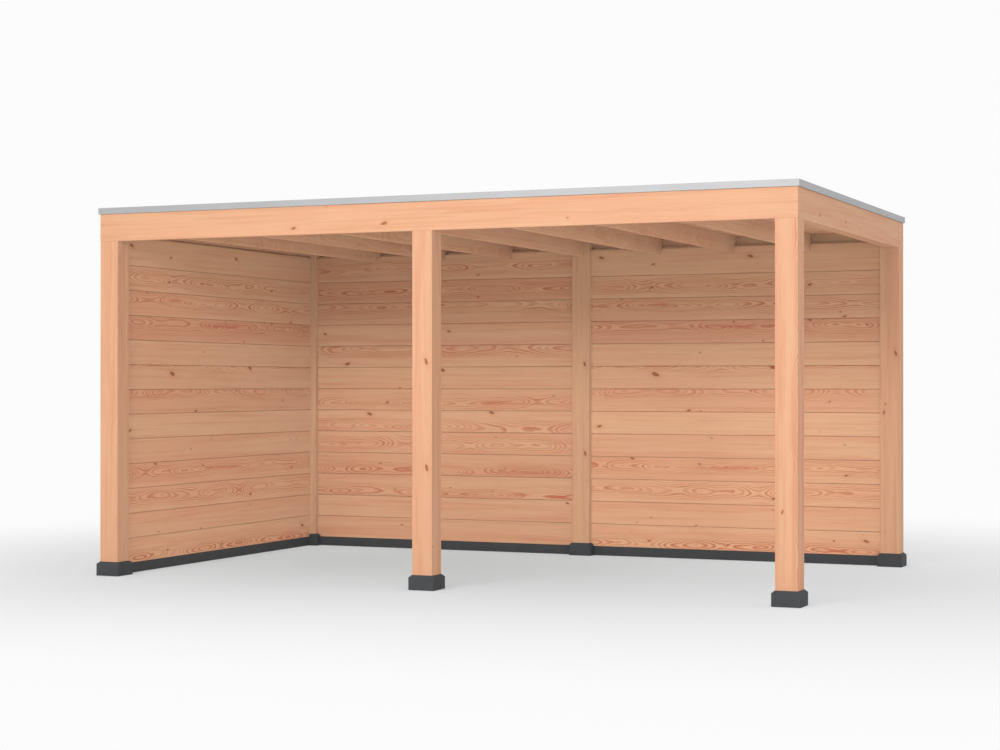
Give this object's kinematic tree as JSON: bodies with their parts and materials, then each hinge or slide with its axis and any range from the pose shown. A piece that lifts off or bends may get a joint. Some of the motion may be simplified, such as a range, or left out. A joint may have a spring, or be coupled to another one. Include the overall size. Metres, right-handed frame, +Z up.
{
  "type": "garden canopy",
  "caption": "Timber garden canopy with a flat roof, open front and right side, board walls at the left and back, on concrete feet.",
  "frame": {"origin": "centre of the frame's plan, on the ground", "axes": "+X along the front towards the open right side, +Y towards the back wall, +Z up"},
  "size_m": [5.12, 3.08, 2.612],
  "materials": {
    "concrete": "matte",
    "post_timber": "satin",
    "ring_timber": "satin",
    "joist_timber": "satin",
    "wall_boards": "satin",
    "deck_boards": "satin",
    "batten_timber": "matte",
    "membrane": "matte",
    "aluminium_trim": "satin"
  },
  "bodies": {
    "root": {"foot_front_left": "concrete", "foot_front_middle": "concrete", "foot_front_right": "concrete", "foot_back_left": "concrete", "foot_back_middle": "concrete", "foot_back_right": "concrete", "post_front_left": "post_timber", "post_front_middle": "post_timber", "post_front_right": "post_timber", "post_back_left": "post_timber", "post_back_middle": "post_timber", "post_back_right": "post_timber", "plinth_left": "concrete", "plinth_back_left": "concrete", "plinth_back_right": "concrete", "wall_left": "wall_boards", "wall_back_left": "wall_boards", "wall_back_right": "wall_boards", "ring_board_front": "ring_timber", "ring_board_back": "ring_timber", "ring_board_left": "ring_timber", "ring_board_right": "ring_timber", "joist_middle": "joist_timber", "joist_left_bay_1": "joist_timber", "joist_left_bay_2": "joist_timber", "joist_left_bay_3": "joist_timber", "joist_right_bay_1": "joist_timber", "joist_right_bay_2": "joist_timber", "joist_right_bay_3": "joist_timber", "edge_joist_left": "joist_timber", "edge_joist_right": "joist_timber", "roof_deck": "deck_boards", "roof_membrane": "membrane", "roof_batten_front": "batten_timber", "roof_batten_back": "batten_timber", "roof_batten_left": "batten_timber", "roof_batten_right": "batten_timber", "roof_trim_front": "aluminium_trim", "roof_trim_back": "aluminium_trim", "roof_trim_left": "aluminium_trim", "roof_trim_right": "aluminium_trim"}
  },
  "joints": []
}
